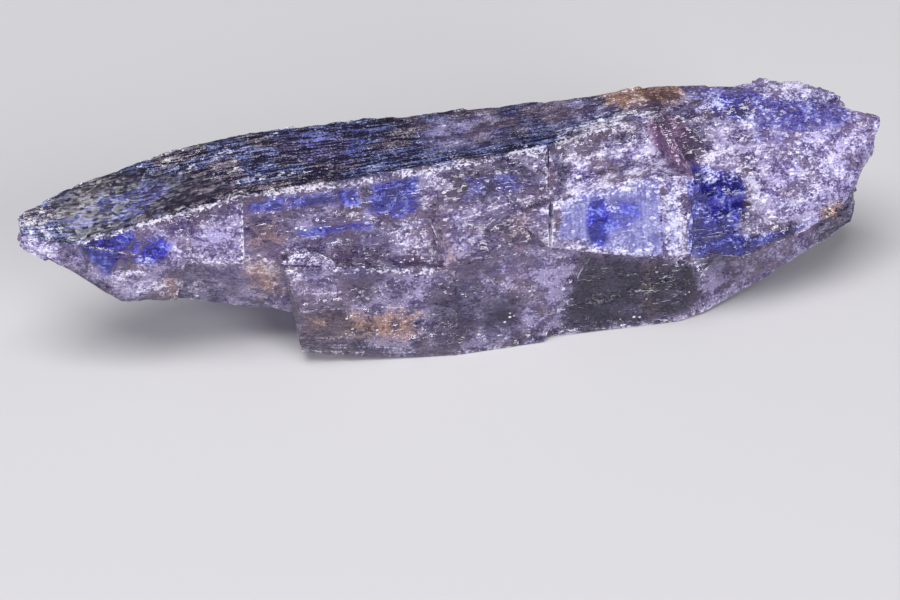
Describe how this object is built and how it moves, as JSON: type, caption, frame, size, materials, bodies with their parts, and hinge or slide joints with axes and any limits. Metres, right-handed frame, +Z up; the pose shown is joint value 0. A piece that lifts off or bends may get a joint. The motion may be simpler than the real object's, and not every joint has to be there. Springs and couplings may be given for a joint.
{
  "type": "rough tanzanite crystal",
  "caption": "Rough blue-violet tanzanite: one long, striated, stepped crystal with a worn pointed end and a broken end, lying on its flat underside.",
  "frame": {"origin": "under the middle of the crystal's box, on the surface that it rests on", "axes": "+X along the crystal towards its broken end, -Y towards the stepped front face, +Z up"},
  "size_m": [0.036, 0.0078, 0.0092],
  "materials": {
    "tanzanite": "translucent blue-violet crystal, glossy on its cleavage faces, frosted white along edges, cracks and breaks"
  },
  "bodies": {
    "root": {"tanzanite_crystal": "tanzanite"}
  },
  "joints": []
}
